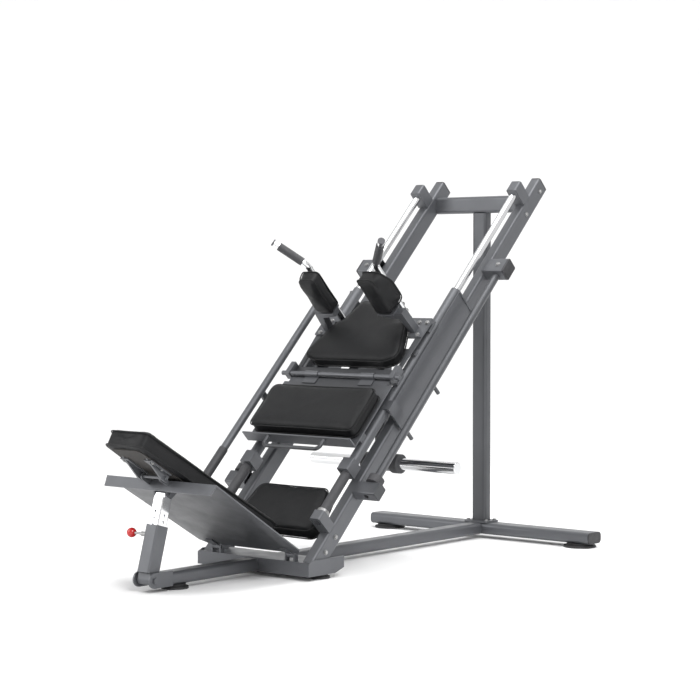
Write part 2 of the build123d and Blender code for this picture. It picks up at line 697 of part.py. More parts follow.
def back_pad_face(margin):
    """Outline of the upper cushion in x and s, grown by a margin."""
    right = [(x + margin, s) for x, s in BACK_PAD_OUTLINE]
    left = [(-x, s) for x, s in reversed(right)]
    return make_face(Polyline(*right, *left, close=True))


def carriage_plate():
    """Plate round the upper pad, with spacers on the cross bars and lugs for the hinge bar."""
    low = CARRIAGE_PLATE_LOW_S
    right = [(CARRIAGE_PLATE_LOW_HALF, low), (CARRIAGE_PLATE_TOP_HALF, 1250)]
    left = [(-x, s) for x, s in reversed(right)]
    body = Pos(0, 0, CARRIAGE_PLATE_H) * extrude(make_face(Polyline(*right, *left, close=True)), CARRIAGE_PLATE)
    window = (-PLATE_WINDOW_HALF, PLATE_WINDOW_HALF)
    body -= box(window, PLATE_WINDOW_S, (CARRIAGE_PLATE_H - 1, CARRIAGE_DECK + 1))
    body -= Pos(0, 0, CARRIAGE_PLATE_H - 1) * extrude(back_pad_face(PAD_MARGIN), CARRIAGE_PLATE + 2)

    def spacer_and_lug():
        x = (HINGE_LUG_X, HINGE_LUG_X + 24)
        lug = box(x, (HINGE_S - 14, low + 40), (CARRIAGE_PLATE_H, HINGE_H + 13))
        for s in CROSS_BARS:
            spacer = box((PLATE_WINDOW_HALF, CARRIAGE_PLATE_LOW_HALF), (s - 25, s + 17), (CROSS_BAR_TOP_H, CARRIAGE_PLATE_H))
            lug += spacer
        return lug
    right_side, left_side = both_sides(spacer_and_lug)
    bore = cyl_between((-500, HINGE_S, HINGE_H), (500, HINGE_S, HINGE_H), HINGE_BAR_RADIUS)
    keep("carriage_plate", in_rail(body + right_side + left_side - bore))


def back_pad():
    """Upper cushion: narrow at the shoulders, widest near its lower end."""
    keep("back_pad", in_rail(Pos(0, 0, CROSS_BAR_TOP_H) * extrude(back_pad_face(0), BACK_PAD_THICKNESS)))


def shoulder_supports():
    """Bolted foot, leaning stalk and top plate under each shoulder pad."""
    deck = CARRIAGE_DECK
    foot = 7.0
    pad_low = SHOULDER_H[0]
    s0, s1 = SHOULDER_S
    spots = [Plane(origin=(x, s, deck + foot)) for x, s in ((262, 1158), (276, 1226), (236, 1226))]

    def one():
        body = box((217, 288), (1146, 1242), (deck, deck + foot))
        body += box((168, 288), (1222, 1252), (deck, deck + foot))
        side = make_face(Polyline(
            (219, deck + foot), (246, deck + foot), (236, pad_low - 6),
            (128, pad_low - 6), (128, pad_low - 30), (206, pad_low - 40), close=True,
        ))
        plane = Plane(origin=(0, s1 - 14, 0), x_dir=(1, 0, 0), z_dir=(0, -1, 0))
        body += plane.location * extrude(side, 34)
        body += box((SHOULDER_INNER_X + 6, SHOULDER_FACE_X), (s0 + 5, s1 - 5), (pad_low - 6, pad_low))
        for spot in spots:
            body -= bolt_hole(spot, 5, foot)
        return in_rail(body)

    def bolts():
        return in_rail(Compound(children=[spot.location * hex_bolt(shank=foot) for spot in spots]))
    keep("shoulder_supports", *both_sides(one))
    keep("shoulder_bolts", *both_sides(bolts))


def shoulder_pad():
    """Cushion whose back is wider than its face, towards the outside."""
    low, high = SHOULDER_H
    face = (
        (SHOULDER_INNER_X, low), (SHOULDER_FACE_X - 12, low), (SHOULDER_FACE_X, low + 14),
        (SHOULDER_FACE_X, high - 16), (SHOULDER_FACE_X - 14, high), (SHOULDER_INNER_X, high),
    )
    back = (
        (SHOULDER_INNER_X, low), (SHOULDER_FACE_X, low), (SHOULDER_BACK_X, low + SHOULDER_CUT),
        (SHOULDER_BACK_X, high - SHOULDER_CUT), (SHOULDER_FACE_X, high), (SHOULDER_INNER_X, high),
    )
    planes = [Plane(origin=(0, s, 0), x_dir=(1, 0, 0), z_dir=(0, -1, 0)) for s in SHOULDER_S]
    outlines = [plane.location * make_face(Polyline(*points, close=True)) for plane, points in zip(planes, (face, back))]
    return in_rail(loft(outlines))


def hand_grip():
    """Bent tube that rises behind a shoulder pad and leans outwards."""
    path = FilletPolyline(
        (GRIP_X, GRIP_S, CARRIAGE_DECK + 7),
        (GRIP_X, GRIP_S, GRIP_BEND_H),
        (GRIP_END_X, GRIP_S, GRIP_END_H),
        radius=55,
    )
    tube = sweep(Plane(origin=path @ 0, z_dir=path % 0) * Circle(GRIP_TUBE_RADIUS), path=path)
    return in_rail(tube)


def grip_direction():
    """Unit direction of the hand grip's outer run, in x and h."""
    run = GRIP_END_X - GRIP_X
    rise = GRIP_END_H - GRIP_BEND_H
    length = math.hypot(run, rise)
    return run / length, rise / length, length


def grip_sleeve():
    """Rubber grip over the outer run, short of the bright tube end."""
    ux, uh, length = grip_direction()
    a = GRIP_BARE
    b = length - 24
    start = (GRIP_X + ux * a, GRIP_S, GRIP_BEND_H + uh * a)
    end = (GRIP_X + ux * b, GRIP_S, GRIP_BEND_H + uh * b)
    return in_rail(cyl_between(start, end, GRIP_RADIUS) - cyl_between(start, end, GRIP_TUBE_RADIUS))


def grip_plug():
    ux, uh, length = grip_direction()
    start = (GRIP_END_X, GRIP_S, GRIP_END_H)
    end = (GRIP_END_X + ux * 7, GRIP_S, GRIP_END_H + uh * 7)
    return in_rail(cyl_between(start, end, GRIP_TUBE_RADIUS + 1))


def hand_grips():
    right, left = both_sides(hand_grip)
    keep("hand_grips", right)
    keep("hand_grips", left)
    keep("grip_sleeves", *both_sides(grip_sleeve))
    keep("grip_plugs", *both_sides(grip_plug))


def hinge_bar():
    """Cross bar at the lower edge of the carriage plate that the flip plate turns on."""
    half = HINGE_BAR_HALF
    keep("hinge_bar", in_rail(cyl_between((-half, HINGE_S, HINGE_H), (half, HINGE_S, HINGE_H), HINGE_BAR_RADIUS)))


def weight_arm():
    """Plumb tube under the carriage that carries the weight horns behind the rails."""
    under = ROD_HEIGHT + SLEEVE_RADIUS
    half = WEIGHT_ARM / 2
    body = box((-half, half), (WEIGHT_Y - half, WEIGHT_Y + half), (WEIGHT_Z + HUB_RADIUS - 4, 1100))
    body -= in_rail(box((-300, 300), (0, 3000), (under, under + 900)))
    body += cyl_between((-HORN_FLANGE_X, WEIGHT_Y, WEIGHT_Z), (HORN_FLANGE_X, WEIGHT_Y, WEIGHT_Z), HUB_RADIUS)
    body -= cyl_between((-100, WEIGHT_Y, WEIGHT_Z), (100, WEIGHT_Y, WEIGHT_Z), HORN_SHANK_RADIUS)
    low, high = CROSS_BARS[1], CROSS_BARS[0]
    outline = Polyline((low, under), (high, under), (high, under - 34), (high - 150, under - 180), close=True)
    plane = Plane(origin=(-4, 0, 0), x_dir=(0, 1, 0), z_dir=(1, 0, 0))
    body += in_rail(plane.location * extrude(make_face(outline), 8))
    spine = box((-half, half), (low, high), (under - 40, under))
    keep("weight_arm", body + in_rail(spine))


def weight_horns():
    """Plate horns: a shank in the hub and flange, then the bright sleeve that plates slide on."""
    start = HORN_FLANGE_X + HORN_FLANGE
    y, z = WEIGHT_Y, WEIGHT_Z

    def horn():
        sleeve_bar = cyl_between((start, y, z), (HORN_HALF, y, z), HORN_RADIUS)
        sleeve_bar = fillet(sleeve_bar.edges().group_by(Axis.X)[-1], 3)
        return sleeve_bar + cyl_between((HORN_SHANK_X, y, z), (start, y, z), HORN_SHANK_RADIUS)

    def flange():
        low, high = (HORN_FLANGE_X, y, z), (start, y, z)
        return cyl_between(low, high, HORN_FLANGE_RADIUS) - cyl_between(low, high, HORN_SHANK_RADIUS)
    keep("weight_horns", *both_sides(horn))
    keep("horn_flanges", *both_sides(flange))


# ================================================================ flip plate
def flip_plate():
    """Plate under the lower pad with a folded lip and two hinge knuckles."""
    low = FLIP_PLATE_H
    high = low + FLIP_PLATE
    body = box((-FLIP_HALF, FLIP_HALF), (FLIP_LOW_S, FLIP_TOP_S), (low, high))
    body += box((-FLIP_HALF, FLIP_HALF), (FLIP_LOW_S, FLIP_LOW_S + FLIP_PLATE), (low, FLIP_LIP_TOP))
    for side in (-1, 1):
        x = (HINGE_LUG_X - 4) * side
        edge = (FLIP_HALF + 1) * side
        notch = (min(x, edge), max(x, edge))
        body -= box(notch, (FLIP_TOP_S - 24, FLIP_TOP_S + 1), (low - 1, high + 1))
    for x in (-150, 150):
        body += cyl_between((x - 35, HINGE_S, HINGE_H), (x + 35, HINGE_S, HINGE_H), HINGE_BAR_RADIUS + 4)
        body += box((x - 35, x + 35), (FLIP_TOP_S - 30, HINGE_S), (low, high + 4))
    bore = cyl_between((-400, HINGE_S, HINGE_H), (400, HINGE_S, HINGE_H), HINGE_BAR_RADIUS + RUNNING_GAP)
    keep("flip_plate", in_rail(body - bore))


def flip_pad():
    low = FLIP_PLATE_H + FLIP_PLATE
    body = box((-FLIP_PAD_HALF, FLIP_PAD_HALF), FLIP_PAD_S, (low, low + FLIP_PAD_THICKNESS))
    body = fillet(body.edges().filter_by(Axis.Z), 24)
    keep("lower_pad", in_rail(body))


def flip_pull():
    """U handle on the lip for lifting the flip plate."""
    path = FilletPolyline(
        (-PULL_HALF, FLIP_LOW_S, PULL_H),
        (-PULL_HALF, FLIP_LOW_S - PULL_REACH, PULL_H),
        (PULL_HALF, FLIP_LOW_S - PULL_REACH, PULL_H),
        (PULL_HALF, FLIP_LOW_S, PULL_H),
        radius=22,
    )
    tube = sweep(Plane(origin=path @ 0, z_dir=path % 0) * Circle(PULL_RADIUS), path=path)
    keep("flip_pull", in_rail(tube))


# ================================================================ foot plate
def foot_plate():
    """Sheet with a folded lip at its top edge, clipped lower corners and hinge knuckles."""
    low = PLATE_LIFT - PLATE_THICKNESS
    end = PLATE_START + PLATE_LENGTH
    cut = 28
    outline = Polyline(
        (-PLATE_HALF + cut, PLATE_START),
        (PLATE_HALF - cut, PLATE_START),
        (PLATE_HALF, PLATE_START + cut),
        (PLATE_HALF + PLATE_FLARE, end),
        (-PLATE_HALF - PLATE_FLARE, end),
        (-PLATE_HALF, PLATE_START + cut),
        close=True,
    )
    body = Pos(0, 0, low) * extrude(make_face(outline), PLATE_THICKNESS)
    wide = PLATE_HALF + PLATE_FLARE
    lip_side = make_face(Polyline(
        (-wide, PLATE_LIFT),
        (wide, PLATE_LIFT),
        (wide - 8, PLATE_LIFT - PLATE_LIP),
        (-wide + 8, PLATE_LIFT - PLATE_LIP),
        close=True,
    ))
    lip_plane = Plane(origin=(0, end, 0), x_dir=(1, 0, 0), z_dir=(0, -1, 0))
    body += lip_plane.location * extrude(lip_side, PLATE_THICKNESS)
    for x in (-PLATE_LUG_X, PLATE_LUG_X):
        body += cyl_between((x - 17, 0, 0), (x + 17, 0, 0), PLATE_PIN_RADIUS + 4)
        body += box((x - 17, x + 17), (0, 60), (low - 5, low))
        body -= cyl_between((x - 17, 0, 0), (x + 17, 0, 0), PLATE_PIN_RADIUS + RUNNING_GAP)
    keep("foot_plate", in_plate(body))


def foot_plate_hinge():
    """Pairs of lugs on the base crossbar and the pins through them."""
    y, z = PLATE_HINGE_Y, PLATE_HINGE_Z
    reach = PLATE_PIN_RADIUS + 4
    lugs = []
    pins = []
    for x in (-PLATE_LUG_X, PLATE_LUG_X):
        for x0 in (x - 26, x + 18):
            lug = box((x0, x0 + 8), (y - reach, y + reach), (BASE_TOP, z))
            lug += cyl_between((x0, y, z), (x0 + 8, y, z), reach)
            lugs.append(lug - cyl_between((x0, y, z), (x0 + 8, y, z), PLATE_PIN_RADIUS))
        pins.append(cyl_between((x - 30, y, z), (x + 30, y, z), PLATE_PIN_RADIUS))
    keep("plate_hinge", *lugs)
    keep("plate_hinge", *pins)


def post_bracket():
    """Base plate and two lugs under the foot plate for the pin at the top of the post."""
    under = PLATE_LIFT - PLATE_THICKNESS
    half = POST_INNER / 2 + 1
    f0, n0 = POST_TOP_F, POST_TOP_N
    reach = POST_BRACKET_HALF
    base = 5.0

    def lug():
        side = make_face(Polyline(
            (f0 - reach, under - base), (f0 + reach, under - base), (f0 + 16, n0 - 14), (f0 - 16, n0 - 14), close=True
        ))
        plane = Plane(origin=(half, 0, 0), x_dir=(0, 1, 0), z_dir=(1, 0, 0))
        return in_plate(plane.location * extrude(side, 6) - cyl_between((0, f0, n0), (100, f0, n0), POST_PIN_RADIUS))
    wide = POST_BRACKET_WIDTH / 2
    keep("post_top_bracket", in_plate(box((-wide, wide), (f0 - reach, f0 + reach), (under - base, under))))
    keep("post_top_bracket", *both_sides(lug))
    x = half + 12
    keep("post_top_bracket", in_plate(cyl_between((-x, f0, n0), (x, f0, n0), POST_PIN_RADIUS)))


# ================================================================ support post
def post():
    """Telescoping support: painted outer tube, moulded liner, bright inner tube."""
    outer = rect_tube(POST_OUTER, POST_OUTER, POST_OUTER_TOP - POST_OUTER_LOW, TUBE_WALL, 8)
    outer = Pos(0, 0, POST_OUTER_LOW) * outer
    ears = Pos(0, 0, 0) * box((-POST_OUTER / 2, POST_OUTER / 2), (-18, 18), (0, POST_OUTER_LOW))
    ears += cyl_between((-POST_OUTER / 2, 0, 0), (POST_OUTER / 2, 0, 0), 18)
    ears -= cyl_between((-60, 0, 0), (60, 0, 0), POST_PIN_RADIUS + RUNNING_GAP)
    bush_x = -POST_OUTER / 2
    bush = cyl_between((bush_x - 16, 0, PULL_PIN_ALONG), (bush_x, 0, PULL_PIN_ALONG), 11)
    bore = cyl_between((-80, 0, PULL_PIN_ALONG), (0, 0, PULL_PIN_ALONG), PULL_PIN_RADIUS + RUNNING_GAP)
    keep("post_outer_tube", in_post(outer + ears + bush - bore))

    clear = POST_OUTER - 2 * TUBE_WALL
    liner = rect_tube(clear, clear, LINER_LENGTH, (clear - POST_INNER) / 2 - RUNNING_GAP, 5)
    liner = Pos(0, 0, POST_OUTER_TOP - LINER_LENGTH) * liner
    keep("post_liner", in_post(liner - bore))

    inner = rect_tube(POST_INNER, POST_INNER, POST_LENGTH - POST_INNER_LOW - 14, TUBE_WALL, 5)
    inner = Pos(0, 0, POST_INNER_LOW) * inner
    for step in range(HOLE_COUNT):
        z = PULL_PIN_ALONG + (step - HOLE_BELOW) * HOLE_PITCH
        inner -= cyl_between((-60, 0, z), (60, 0, z), PULL_PIN_RADIUS + 0.5)
        inner -= cyl_between((0, -60, z + HOLE_PITCH / 2), (0, 60, z + HOLE_PITCH / 2), PULL_PIN_RADIUS + 0.5)
    top = POST_LENGTH
    head = box((-POST_INNER / 2, POST_INNER / 2), (-17, 17), (top - 24, top))
    head += cyl_between((-POST_INNER / 2, 0, top), (POST_INNER / 2, 0, top), 17)
    head -= cyl_between((-60, 0, top), (60, 0, top), POST_PIN_RADIUS + TOP_PIVOT_GAP)
    keep("post_inner_tube", in_post(inner + head))


def pull_pin():
    """Sprung locking pin with a ball knob on the left of the post."""
    wall_in = -POST_INNER / 2 - 1.0
    knob_x = -POST_OUTER / 2 - PULL_PIN_REACH
    z = PULL_PIN_ALONG
    pin = cyl_between((knob_x, 0, z), (wall_in, 0, z), PULL_PIN_RADIUS)
    collar_end = -POST_OUTER / 2 - 17
    pin += cyl_between((collar_end - 24, 0, z), (collar_end, 0, z), 9)
    keep("pull_pin", in_post(pin))
    knob = Pos(knob_x - 8, 0, z) * Sphere(KNOB_RADIUS)
    knob -= cyl_between((knob_x, 0, z), (0, 0, z), PULL_PIN_RADIUS)
    keep("pull_knob", in_post(knob))


# ================================================================ backrest
def backrest():
    low_f = BACKREST_HEAD_F - BACKREST_LENGTH
    board_top = BACKREST_LIFT + BACKREST_BOARD

    def slab(inset, low, high):
        right = [(BACKREST_SEAT_HALF - inset, low_f + inset), (BACKREST_HEAD_HALF - inset, BACKREST_HEAD_F - inset)]
        left = [(-x, f) for x, f in reversed(right)]
        body = Pos(0, 0, low) * extrude(make_face(Polyline(*right, *left, close=True)), high - low)
        return in_plate(fillet(body.edges().filter_by(Axis.Z), 22))

    keep("backrest_board", slab(BACKREST_BOARD_INSET, BACKREST_LIFT, board_top))
    keep("backrest_pad", slab(0, board_top, board_top + BACKREST_THICKNESS))


def backrest_hinge():
    """Arms under the head of the backrest, and lugs on the foot plate with a cross pin."""
    f0, n0 = PAD_PIN_F, PAD_PIN_N
    flange = 5.0
    arms = []
    lugs = []
    bolts = []
    for sign in (-1, 1):
        x = sign * PAD_ARM_X
        side = make_face(Polyline(
            (f0 - 16, n0 - 12), (f0 + 14, n0 - 12), (f0 + 120, BACKREST_LIFT), (f0 - 16, BACKREST_LIFT), close=True
        ))
        plane = Plane(origin=(x - 4, 0, 0), x_dir=(0, 1, 0), z_dir=(1, 0, 0))
        arm = plane.location * extrude(side, 8)
        arm += box((x - 20, x + 20), (f0 - 10, f0 + 110), (BACKREST_LIFT - flange, BACKREST_LIFT))
        arm -= cyl_between((x - 30, f0, n0), (x + 30, f0, n0), PAD_PIN + RUNNING_GAP)
        for f in (f0 + 40, f0 + 92):
            spot = Plane(origin=(x + sign * 13, f, BACKREST_LIFT - flange), x_dir=(1, 0, 0), z_dir=(0, 0, -1))
            arm -= bolt_hole(spot, 3, flange)
            bolts.append(in_plate(spot.location * hex_bolt(radius=3, head=4.5, thickness=3, shank=flange)))
        arms.append(in_plate(arm))
        inner = x - sign * 14
        lug = box((inner - 4, inner + 4), (PLATE_START + PLATE_LENGTH, f0), (n0 - 14, n0 + 6))
        lug += cyl_between((inner - 4, f0, n0 - 1), (inner + 4, f0, n0 - 1), 12)
        lug -= cyl_between((inner - 9, f0, n0), (inner + 9, f0, n0), PAD_PIN)
        lugs.append(in_plate(lug))
    keep("backrest_arms", *arms)
    keep("backrest_bolts", *bolts)
    keep("backrest_pivot", *lugs)
    x = PAD_ARM_X + 12
    keep("backrest_pivot", in_plate(cyl_between((-x, f0, n0), (x, f0, n0), PAD_PIN)))


def backrest_stops():
    """Rubber buttons on the foot plate that the backrest lies on."""
    height = BACKREST_LIFT - SOFT_GAP - PLATE_LIFT
    buttons = []
    for x in (-60, 60):
        button = Cylinder(16, height, align=(Align.CENTER, Align.CENTER, Align.MIN))
        buttons.append(in_plate(Pos(x, 150, PLATE_LIFT) * button))
    keep("backrest_stops", *buttons)


# ================================================================ seat
def seat():
    """Sloping seat pad on a board, carried by a tube between the rails."""
    low, high = SEAT_S
    under = SEAT_TOP_H - SEAT_THICKNESS

    def slab(inset, bottom, top):
        right = [(SEAT_FRONT_HALF - inset, low + inset), (SEAT_BACK_HALF - inset, high - inset)]
        left = [(-x, s) for x, s in reversed(right)]
        body = Pos(0, 0, bottom) * extrude(make_face(Polyline(*right, *left, close=True)), top - bottom)
        return in_rail(fillet(body.edges().filter_by(Axis.Z), 34))

    keep("seat_pad", slab(0, under, SEAT_TOP_H))
    keep("seat_bracket", slab(SEAT_BOARD_INSET, under - SEAT_BOARD, under))
    half = RAIL_X - RAIL_WIDTH / 2
    tube = rect_tube(SEAT_TUBE, SEAT_TUBE, 2 * half, TUBE_WALL, 5)
    centre = (-half, (low + high) / 2, under - SEAT_BOARD - SEAT_TUBE / 2)
    keep("seat_bracket", in_rail(Plane(origin=centre, x_dir=(0, 1, 0), z_dir=(1, 0, 0)).location * tube))


def build():
    rear_crossbar()
    frame_caps()
    feet()
    floor_beams()
    post_clevis()
    base_crossbar()
    upright()
    head_beam()
    rails()
    guide_rods()
    rod_mounts()
    stop_bumpers()
    lock_brackets()
    lock_bars()
    rail_guards()
    carriage_sides()
    cross_bars()
    carriage_plate()
    back_pad()
    shoulder_supports()
    right_pad, left_pad = both_sides(shoulder_pad)
    keep("right_shoulder_pad", right_pad)
    keep("left_shoulder_pad", left_pad)
    hand_grips()
    hinge_bar()
    weight_arm()
    weight_horns()
    flip_plate()
    flip_pad()
    flip_pull()
    foot_plate()
    foot_plate_hinge()
    post_bracket()
    post()
    pull_pin()
    backrest()
    backrest_hinge()
    backrest_stops()
    seat()


build()
os.makedirs("parts", exist_ok=True)
for name, pieces in NODES.items():
    shape = pieces[0] if len(pieces) == 1 else Compound(children=pieces)
    export_step(shape, "parts/" + name + ".step")
print(len(NODES), "nodes")
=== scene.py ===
"""Looks for the hack squat machine: upholstery, materials, small metalwork, light and camera."""
import json
import math

import bmesh
import bpy
from mathutils import Matrix, Vector


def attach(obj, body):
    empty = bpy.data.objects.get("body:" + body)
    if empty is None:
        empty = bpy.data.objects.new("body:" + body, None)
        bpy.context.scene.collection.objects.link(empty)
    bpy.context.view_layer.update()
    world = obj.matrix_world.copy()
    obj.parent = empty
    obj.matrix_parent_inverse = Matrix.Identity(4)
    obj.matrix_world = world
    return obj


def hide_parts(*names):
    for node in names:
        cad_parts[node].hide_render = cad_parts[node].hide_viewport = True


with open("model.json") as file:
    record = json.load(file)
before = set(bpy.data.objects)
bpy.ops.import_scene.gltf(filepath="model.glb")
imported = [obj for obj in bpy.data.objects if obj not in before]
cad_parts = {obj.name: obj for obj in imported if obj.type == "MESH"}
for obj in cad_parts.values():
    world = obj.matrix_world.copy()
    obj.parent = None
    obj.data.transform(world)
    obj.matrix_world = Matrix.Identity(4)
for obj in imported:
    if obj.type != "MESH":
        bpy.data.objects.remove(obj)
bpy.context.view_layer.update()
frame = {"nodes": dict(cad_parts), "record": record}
NODES = frame["nodes"]

# ------------------------------------------------------------------ directions
X = Vector((1, 0, 0))
RAIL_ANGLE = math.radians(45)
UP_RAIL = Vector((0, math.cos(RAIL_ANGLE), math.sin(RAIL_ANGLE)))
OFF_RAIL = Vector((0, -math.sin(RAIL_ANGLE), math.cos(RAIL_ANGLE)))
PLATE_ANGLE = math.radians(31)
UP_PLATE = Vector((0, -math.cos(PLATE_ANGLE), math.sin(PLATE_ANGLE)))
OFF_PLATE = Vector((0, math.sin(PLATE_ANGLE), math.cos(PLATE_ANGLE)))


# ------------------------------------------------------------------ materials
class Shader:
    """Small helper round one material's node tree."""

    def __init__(self, name):
        self.mat = bpy.data.materials.new(name)
        self.mat.use_nodes = True
        self.tree = self.mat.node_tree
        self.bsdf = self.tree.nodes["Principled BSDF"]
        self.coord = self.tree.nodes.new("ShaderNodeTexCoord")

    def node(self, kind, **values):
        item = self.tree.nodes.new(kind)
        for key, value in values.items():
            if key in item.inputs:
                item.inputs[key].default_value = value
            else:
                setattr(item, key, value)
        return item

    def link(self, out, into):
        self.tree.links.new(out, into)

    def noise(self, scale, detail=4.0, rough=0.55, stretch=None):
        tex = self.node("ShaderNodeTexNoise", Scale=scale, Detail=detail, Roughness=rough)
        source = self.coord.outputs["Object"]
        if stretch:
            move = self.node("ShaderNodeMapping")
            move.inputs["Scale"].default_value = stretch
            self.link(source, move.inputs["Vector"])
            source = move.outputs["Vector"]
        self.link(source, tex.inputs["Vector"])
        return tex.outputs["Fac"]

    def cells(self, scale, feature="F1"):
        tex = self.node("ShaderNodeTexVoronoi", Scale=scale)
        tex.feature = feature
        self.link(self.coord.outputs["Object"], tex.inputs["Vector"])
        return tex.outputs["Distance"]

    def ramp(self, fac, stops):
        item = self.node("ShaderNodeValToRGB")
        points = item.color_ramp.elements
        while len(points) < len(stops):
            points.new(0.5)
        for point, (place, value) in zip(points, stops):
            point.position = place
            colour = value if isinstance(value, tuple) else (value, value, value)
            point.color = (*colour, 1.0)
        self.link(fac, item.inputs["Fac"])
        return item.outputs["Color"]

    def blend(self, fac, a, b, kind="MIX"):
        item = self.node("ShaderNodeMix")
        item.data_type = "RGBA"
        item.blend_type = kind
        for value, socket in ((fac, item.inputs[0]), (a, item.inputs[6]), (b, item.inputs[7])):
            if isinstance(value, (int, float)):
                socket.default_value = value
            elif isinstance(value, tuple):
                socket.default_value = (*value, 1.0)
            else:
                self.link(value, socket)
        return item.outputs[2]

    def bump(self, height, strength, distance, under=None):
        item = self.node("ShaderNodeBump", Strength=strength, Distance=distance)
        self.link(height, item.inputs["Height"])
        if under is not None:
            self.link(under, item.inputs["Normal"])
        return item.outputs["Normal"]

    def edge(self, low=0.505, high=0.56):
        """White along convex edges, the mask for a painted edge highlight."""
        geometry = self.node("ShaderNodeNewGeometry")
        return self.ramp(geometry.outputs["Pointiness"], ((low, 0.0), (high, 1.0)))

    def set(self, **values):
        for key, value in values.items():
            name = key.replace("_", " ")
            socket = self.bsdf.inputs[name]
            if isinstance(value, tuple):
                socket.default_value = (*value, 1.0)
            elif isinstance(value, (int, float)):
                socket.default_value = value
            else:
                self.link(value, socket)
        return self


def paint(name, base, metallic=0.55, rough=0.42):
    """Metallic powder coat: fine sparkle, faint orange peel, dust, and a painted highlight that lightens
    convex edges.
    """
    s = Shader(name)
    dark = tuple(c * 0.88 for c in base)
    light = tuple(min(1.0, c * 1.16) for c in base)
    cloud = s.ramp(s.noise(3.0, 3.0), ((0.35, dark), (0.65, light)))
    fleck = s.ramp(s.cells(2600.0), ((0.05, 0.72), (0.5, 1.0)))
    flecked = s.blend(0.28, cloud, fleck, "MULTIPLY")
    # painted highlight: convex edges are mixed to a lighter colour, standing in for light caught on the
    # edges
    toned = s.blend(s.edge(0.52, 0.60), flecked, tuple(min(1.0, c * 1.9) for c in base))
    smear = s.ramp(s.noise(11.0, 5.0), ((0.3, rough - 0.07), (0.7, rough + 0.09)))
    peel = s.bump(s.noise(420.0, 2.0), 0.10, 0.0006)
    fine = s.bump(s.noise(1500.0, 2.0), 0.08, 0.0003, peel)
    s.set(Base_Color=toned, Metallic=metallic, Roughness=smear, Normal=fine)
    s.set(Coat_Weight=0.12, Coat_Roughness=0.3)
    return s.mat


def chrome(name, tone=0.80, rough=0.07):
    """Polished plate with faint handling smears and hairline scratches along the slope."""
    s = Shader(name)
    smear = s.noise(9.0, 6.0, 0.6)
    hair = s.noise(60.0, 3.0, 0.6, (1.0, 0.06, 0.06))
    mixed = s.blend(0.35, smear, hair)
    roughness = s.ramp(mixed, ((0.35, rough), (0.75, rough + 0.11)))
    tint = s.ramp(smear, ((0.3, (tone * 0.93, tone * 0.94, tone * 0.96)), (0.7, (tone, tone, tone))))
    s.set(Base_Color=tint, Metallic=1.0, Roughness=roughness, Normal=s.bump(hair, 0.02, 0.0004))
    return s.mat


def plated(name, tone=0.36):
    s = Shader(name)
    cloud = s.ramp(s.noise(35.0, 5.0), ((0.3, (tone * 0.7,) * 3), (0.7, (tone * 1.2,) * 3)))
    rough = s.ramp(s.noise(160.0, 4.0), ((0.3, 0.28), (0.7, 0.5)))
    s.set(Base_Color=cloud, Metallic=0.95, Roughness=rough, Normal=s.bump(s.noise(500.0, 2.0), 0.15, 0.0004))
    return s.mat


def vinyl(name, base=(0.0050, 0.0052, 0.0058), rough=0.50):
    """Upholstery vinyl: pebbled grain of two sizes over soft creases, slightly shiny where handled."""
    s = Shader(name)
    grain = s.cells(900.0)
    pores = s.noise(1700.0, 3.0)
    crease = s.noise(26.0, 5.0, 0.62, (1.0, 0.55, 0.55))
    toned, handled = tuple(c * 0.8 for c in base), tuple(c * 1.35 for c in base)
    tint = s.ramp(s.noise(5.0, 4.0), ((0.3, toned), (0.75, handled)))
    # painted highlight: the raised grain is mixed to a lighter colour, standing in for light caught on the
    # pebbles
    grain_painted_highlight = s.blend(s.ramp(grain, ((0.0, 0.0), (0.6, 0.35))), tint, tuple(c * 2.1 for c in base))
    shine = s.ramp(s.noise(7.0, 4.0), ((0.3, rough - 0.06), (0.7, rough + 0.1)))
    soft = s.bump(crease, 0.08, 0.003)
    pebble = s.bump(grain, 0.30, 0.0007, soft)
    fine = s.bump(pores, 0.12, 0.0003, pebble)
    s.set(Base_Color=grain_painted_highlight, Roughness=shine, Normal=fine)
    s.set(Specular_IOR_Level=0.28)
    return s.mat


def rubber(name, base=(0.012, 0.012, 0.013), rough=0.62, grain=500.0):
    s = Shader(name)
    dust = s.ramp(s.noise(14.0, 6.0), ((0.4, base), (0.85, tuple(c * 2.6 for c in base))))
    # painted highlight: convex edges are mixed to a lighter colour, standing in for light caught on the
    # edges
    painted_edge_highlight = s.blend(s.edge(0.52, 0.62), dust, tuple(c * 4.0 for c in base))
    shine = s.ramp(s.noise(40.0, 4.0), ((0.3, rough - 0.1), (0.7, rough + 0.12)))
    s.set(Base_Color=painted_edge_highlight, Roughness=shine, Normal=s.bump(s.noise(grain, 3.0), 0.25, 0.0005))
    return s.mat


def gloss(name, base):
    s = Shader(name)
    tint = s.ramp(s.noise(30.0, 3.0), ((0.3, tuple(c * 0.85 for c in base)), (0.7, base)))
    shine = s.ramp(s.noise(70.0, 5.0), ((0.35, 0.12), (0.75, 0.26)))
    s.set(Base_Color=tint, Roughness=shine, Coat_Weight=0.4, Coat_Roughness=0.08)
    s.set(Normal=s.bump(s.noise(120.0, 2.0), 0.03, 0.0004))
    return s.mat


def stained_board(name):
    s = Shader(name)
    ply = s.noise(30.0, 6.0, 0.6, (1.0, 0.15, 6.0))
    tint = s.ramp(ply, ((0.3, (0.010, 0.009, 0.008)), (0.7, (0.035, 0.031, 0.028))))
    s.set(Base_Color=tint, Roughness=s.ramp(ply, ((0.3, 0.6), (0.7, 0.8))), Normal=s.bump(ply, 0.2, 0.0006))
    return s.mat


